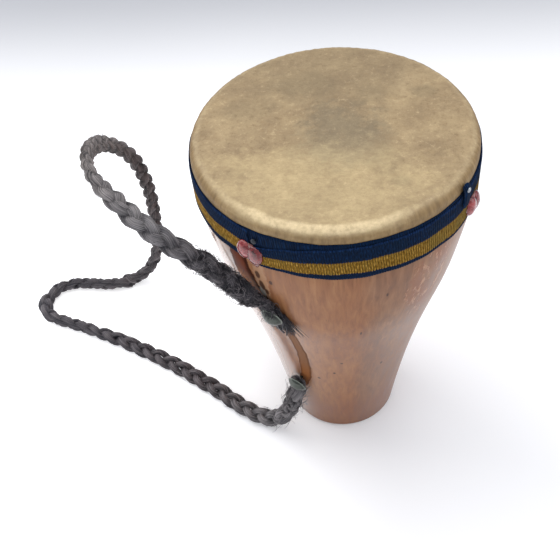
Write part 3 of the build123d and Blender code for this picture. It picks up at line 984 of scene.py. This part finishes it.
# ---------------------------------------------------------------- ribbons
def ribbon_sheet(name, angles, rows, ribs, outer, thickness, lift=None):
    """A ribbon round the rim: rows gives heights for each angle, from its lower edge to its
    upper one, ribs how far its ribs stand out, and lift moves it off the drum."""
    heights = np.array([rows(a) for a in angles])
    count, across = heights.shape
    share = np.linspace(0, 1, across)
    rib = angles[:, None] + heights * RIB_SLANT
    swell = ribs * 0.5 * (1 + np.cos(2 * pi * rib))
    edge = np.minimum(share, 1 - share)[None]
    rounding = np.clip(1 - edge / 0.05, 0, 1) ** 2 * 0.12
    lifted = 0 if lift is None else lift(angles)[:, None]
    outside = outer + swell - rounding + lifted
    inside = np.full_like(outside, outer - thickness) + lifted
    turn = np.radians(angles)[:, None]
    layers = [
        np.stack([radius * np.cos(turn), radius * np.sin(turn), heights], axis=-1)
        for radius in (outside, inside)
    ]
    points = np.concatenate([layer.reshape(-1, 3) for layer in layers]) * MM
    front = np.arange(count * across).reshape(count, across)
    back = front + count * across

    def skin(grid, flip):
        cells = [grid[:-1, :-1], grid[1:, :-1], grid[1:, 1:], grid[:-1, 1:]]
        return np.stack(cells[::-1] if flip else cells, axis=-1).reshape(-1, 4)

    def hem(outer_edge, inner_edge, flip):
        cells = [outer_edge[:-1], inner_edge[:-1], inner_edge[1:], outer_edge[1:]]
        return np.stack(cells[::-1] if flip else cells, axis=-1).reshape(-1, 4)

    faces = [
        skin(front, False), skin(back, True),
        hem(front[:, 0], back[:, 0], False), hem(front[:, -1], back[:, -1], True),
        hem(front[0], back[0], True), hem(front[-1], back[-1], False),
    ]
    piece = mesh_piece(name, points, faces)
    write_attribute(piece, "rib", np.tile(rib.ravel(), 2))
    return piece, across


def banded(low, first, second, high):
    """Rows across the trim, through its lower navy line, its gold stripe and its navy band."""
    return np.concatenate([
        np.linspace(low, first, 5)[:-1], np.linspace(first, second, 8)[:-1], np.linspace(second, high, 10),
    ])


def make_binding(navy):
    """The plain ribbon on the hide."""
    angles = np.linspace(237.0, 596.9, 1080)

    def rows(a):
        top = 192.1 + 0.2 * sin(radians(a) * 9) + 0.12 * sin(radians(a) * 31)
        return np.linspace(173.4, top, 12)

    binding, across = ribbon_sheet("binding_ribbon_cloth", angles, rows, 0.07, BINDING_R - 0.05, 0.32)
    write_attribute(binding, "stripe", np.tile(np.linspace(2, 2.8, across), 2 * len(angles)))
    put(binding, "navy_ribbon", navy, "binding_ribbon")


def make_trim():
    """The striped trim, wound over the plain ribbon and pulled down at its end."""
    turns = [236.3, 240, 250, 262, 275, 300, 320, 345, 380, 460, 540, 580, 595.7]
    top = [183.2, 184.0, 186.6, 189.0, 190.0, 190.3, 190.5, 191.2, 191.9, 192.0, 192.0, 192.0, 191.4]
    gold_top = [179.0, 179.5, 180.2, 181.5, 182.1, 182.3, 181.7, 182.6, 184.0, 184.2, 184.2, 184.2, 183.6]
    gold_bottom = [174.0, 174.3, 174.5, 174.9, 175.2, 174.1, 173.0, 173.9, 176.8, 177.0, 177.0, 177.0, 176.6]
    bottom = [172.6, 172.9, 172.6, 172.0, 171.6, 171.9, 171.4, 172.0, 173.2, 173.5, 173.5, 173.5, 173.2]
    angles = np.linspace(turns[0], turns[-1], 2160)

    def rows(a):
        wave = 0.16 * sin(radians(a) * 13) + 0.12 * sin(radians(a) * 29 + 1)
        return banded(*(np.interp(a, turns, edge) + wave for edge in (bottom, gold_bottom, gold_top, top)))

    def lift(a):
        return 0.35 * np.exp(-((a - 238.0) / 3.5) ** 2) + 0.1 * np.sin(np.radians(a) * 17)

    trim, _ = ribbon_sheet("trim_ribbon_cloth", angles, rows, 0.16, TRIM_R - 0.1, 0.42, lift)
    write_attribute(trim, "stripe", np.tile(banded(0, 1, 2, 3), 2 * len(angles)))
    put(trim, "striped_ribbon", ribbon_finish("striped_ribbon", True), "trim_ribbon")


def make_ribbons():
    """The plain ribbon, the striped trim over it, and the trim's folded end."""
    navy = ribbon_finish("navy_ribbon", False)
    make_binding(navy)
    make_trim()
    make_lap(navy)


def make_lap(navy):
    """The trim's folded end, pinned down and standing up over the hide's shoulder."""
    low, high, middle, half = 184.0, 195.8, 325.4, 2.8
    rounds, rings = 28, 18
    points = []
    for ring in range(rings):
        share = ring / (rings - 1)
        z = low + (high - low) * share
        narrow = 1 - 0.25 * share**2 - 0.25 * (share < 0.06) - 0.3 * (share > 0.97)
        lean = 0.0 if z < 192 else -2.1 * ((z - 192) / 5.6) ** 1.6
        for a in np.linspace(0, 2 * pi, rounds, endpoint=False):
            crease = 0.16 * sin(3 * a + 4 * share) + 0.1 * sin(7 * a + 9 * share)
            angle = middle + half * narrow * cos(a) + 0.8 * sin(3.5 * share)
            radius = TRIM_R + 0.75 + lean + (0.68 + crease) * sin(a) * (1 - 0.5 * (share > 0.97))
            points.append(around(radius, angle, z + 0.25 * sin(2 * a + 1)))
    faces = closed_sleeve(np.arange(rings * rounds).reshape(rings, rounds))
    lap = mesh_piece("trim_lap_fold", np.array(points), faces)
    bpy.context.view_layer.objects.active = lap
    smooth = lap.modifiers.new("smooth", "SUBSURF")
    smooth.levels = smooth.render_levels = 1
    with bpy.context.temp_override(object=lap, active_object=lap):
        bpy.ops.object.modifier_apply(modifier="smooth")
    points = np.array([v.co for v in lap.data.vertices]) / MM
    rib = np.degrees(np.arctan2(points[:, 1], points[:, 0])) + points[:, 2] * RIB_SLANT
    write_attribute(lap, "rib", rib)
    write_attribute(lap, "stripe", 2 + (points[:, 2] - low) / (high - low))
    put(lap, "navy_ribbon", navy, "trim_lap")


# ---------------------------------------------------------------- beads, glue, pins, nails
def rest_on_trim(piece, angle, z):
    """Bends a small piece made on the flat, with its height along X, round onto the trim."""

    def bend(p):
        return around(TRIM_R + p.x, angle + degrees(p.y / TRIM_R), z + p.z) / MM

    shift_points(piece, bend)


def make_beads():
    """Oval glass beads, two to a cluster, each sitting in its pool of glue."""
    rose = glass_finish("rose_glass", paint(172, 76, 76), paint(132, 24, 30), paint(96, 8, 12))
    ruby = glass_finish("ruby_glass", paint(136, 32, 36), paint(106, 10, 15), paint(66, 4, 6))
    glue = glue_finish()
    for number, (angle, z, drip) in enumerate(CLUSTERS, 1):
        for letter, turn, rise, half_up, finish, seed in (
            ("a", -2.3, 0.7, 5.0, rose, 1.7), ("b", 2.3, -0.7, 5.3, ruby, 6.1),
        ):
            bead = half_ball(f"glass_bead_{number}{letter}", 40, 24, (2.75, 3.8, half_up))

            def lump(p):
                swell = 0.16 * noise.noise(p * 0.45 + Vector((seed, number, 0)))
                return p + p.normalized() * swell * (1 if p.x > 0.4 else 0)

            shift_points(bead, lump)
            rest_on_trim(bead, angle + turn, z + rise)
            put(bead, "bead_glass", finish, f"bead_{number}{letter}")
        make_glue(number, angle, z, drip, glue)


def make_glue(number, angle, z, drip, glue):
    """A pool of set glue round one pair of beads, with a drip that hangs below it."""
    pool = half_ball(f"glue_pool_{number}", 72, 36, (1.25, 6.3, 5.1))

    def spread(p):
        edge = noise.noise(Vector((p.y * 0.35, p.z * 0.35, number * 3.1)))
        swell = 1 + 0.14 * edge
        low = max(0.0, -p.z / 5.3)
        run = drip * low**1.5 * exp(-((p.y - 2.4) / 2.2) ** 2)
        thick = p.x * (1 + 0.3 * edge) - 0.7 * max(0.0, run - 1.2) / 3.4
        return Vector((thick, p.y * swell, p.z * swell - run))

    shift_points(pool, spread)
    rest_on_trim(pool, angle, z)
    put(pool, "bead_glue", glue, f"glue_pad_{number}")


def facing_out(way):
    """The turn that takes a piece made upright so that its top faces this way."""
    return Vector((0, 0, 1)).rotation_difference(Vector(way)).to_matrix().to_4x4()


def make_pins():
    """Small round-headed pins through the ribbons; the pin on the trim's folded end is in a paler steel, a
    painted glint.
    """
    dull = metal_finish("pin_dull", paint(70, 74, 80), paint(38, 42, 48), paint(28, 26, 24), 0.35)
    # a paler copy of the pin steel: a painted highlight for the pin whose head glints
    glinting_steel = metal_finish("pin_painted_glint", paint(176, 179, 182), paint(140, 144, 147), paint(84, 82, 78), 0.2)
    outline = [
        (0.0, 0.72), (0.45, 0.69), (0.85, 0.57), (1.15, 0.38), (1.3, 0.16), (1.28, 0.02), (1.1, -0.05),
        (0.55, -0.05), (0.5, -0.3), (0.5, -4.6), (0.25, -5.6), (0.0, -6.0),
    ]
    for number, (angle, z, stand, steel) in enumerate((
        (238.5, 187.0, 0.35, dull), (325.8, 193.0, 1.1, glinting_steel),
        (66.5, 187.0, 0.0, dull), (152.5, 187.0, 0.0, dull),
    ), 1):
        pin = turn_piece(f"pin_{number}", outline, 24)
        place = Matrix.Translation(around(TRIM_R + stand, angle, z))
        pin.data.transform(place @ facing_out(around(1, angle, 0).normalized()))
        put(pin, "pin_steel", steel, f"ribbon_pin_{number}")


def make_nails():
    """Domed nails that hold the strap's ends: thin pressed heads with a rolled rim."""
    ball = (NAIL_HEAD_R**2 + NAIL_DOME**2) / (2 * NAIL_DOME)
    inner = ball - NAIL_SHEET
    centre = NAIL_SEAT + NAIL_DOME - ball
    widest = degrees(np.arcsin(NAIL_HEAD_R / ball)) * 0.985
    outline = [
        (ball * sin(radians(a)), centre + ball * cos(radians(a))) for a in np.linspace(0, widest, 16)
    ]
    outline += [(NAIL_HEAD_R + 0.02, NAIL_SEAT + 0.12), (NAIL_HEAD_R - 0.15, NAIL_SEAT - 0.02)]
    rim = np.arccos((NAIL_SEAT - centre) / inner)
    outline += [(inner * sin(a), centre + inner * cos(a)) for a in np.linspace(rim, 0.13, 9)]
    outline += [(0.9, 2.0), (0.9, -3.7), (0.45, -4.8), (0.0, -5.5)]
    # the last colour, paler, is the painted highlight round each head's rim
    brass = metal_finish(
        "tarnished_brass", paint(76, 80, 75), paint(58, 61, 57), paint(44, 44, 38), 0.1, paint(118, 124, 115)
    )
    for name in ("strap_tack_upper", "strap_tack_lower"):
        place, out = nail_place(name)
        nail = turn_piece(name.replace("tack", "nail"), outline, 64)
        # rim: how far out from the middle each point of the head lies, which places the painted highlight
        write_attribute(nail, "rim", [hypot(v.co.x, v.co.y) / MM / NAIL_HEAD_R for v in nail.data.vertices])
        moved = Matrix.Translation(Vector(place)) @ facing_out(out)
        nail.data.transform(Matrix.Scale(MM, 4) @ moved @ Matrix.Scale(1 / MM, 4))
        put(nail, "nail_brass", brass, name)


# ---------------------------------------------------------------- floor and light
def make_floor():
    """A white floor, greyer far behind the drum as painted shade, and glowing a little on the left as
    painted light.
    """
    bpy.ops.mesh.primitive_plane_add(size=8, location=(0, 0, 0))
    floor = bpy.context.object
    floor.name = "floor"
    floor.select_set(False)
    f = Finish("white_floor")
    parts = f.node("ShaderNodeSeparateXYZ", {0: f.place}).outputs
    east, north = parts[0], parts[1]
    # tone: painted shade, the floor greying away behind the drum, with some random unevenness
    tone = f.plus(f.scaled(north, 0.22, 0.5), f.times(f.noise(3.0, detail=2.0), 0.12))
    white = f.mix(tone, paint(250, 250, 252), paint(174, 175, 180))
    # glow: painted light, the floor's own emission on the left standing in for lamplight
    glow = f.times(f.scaled(east, 0.04, -0.2, 0.0, 0.6), f.scaled(north, 0.34, 0.12))
    floor.data.materials.append(f.done(
        Base_Color=white, Roughness=0.7, Specular_IOR_Level=0.2,
        Emission_Color=(1, 1, 1, 1), Emission_Strength=glow,
    ))


def light_scene():
    """Broad soft light from a pale sky, a window on the left, a ceiling and a right wall."""
    world = bpy.data.worlds.new("pale_room")
    world.use_nodes = True
    sky = world.node_tree.nodes["Background"]
    sky.inputs["Color"].default_value = (0.86, 0.9, 0.96, 1)
    sky.inputs["Strength"].default_value = 0.71
    bpy.context.scene.world = world
    for name, place, size, power, colour in (
        ("window", (-0.9, 0.5, 1.0), 1.0, 7.5, (1.0, 0.99, 0.97)),
        ("ceiling", (0.1, 0.1, 1.5), 1.6, 12.5, (1.0, 0.98, 0.95)),
        ("right_wall", (1.1, -0.2, 0.7), 0.9, 3.6, (0.98, 0.98, 1.0)),
    ):
        lamp = bpy.data.lights.new(name, "AREA")
        lamp.size, lamp.energy, lamp.color = size, power, colour
        holder = bpy.data.objects.new(name, lamp)
        holder.location = place
        holder.rotation_mode = "QUATERNION"
        holder.rotation_quaternion = (Vector((0, 0, 0.08)) - Vector(place)).to_track_quat("-Z", "Y")
        bpy.context.scene.collection.objects.link(holder)
    bpy.context.scene.view_settings.view_transform = "Standard"


place_camera()
make_strap()
make_head()
make_ribbons()
make_beads()
make_pins()
make_nails()
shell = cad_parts["shell"]
shell.data.materials.clear()
shell.data.materials.append(wood_finish())
make_floor()
light_scene()
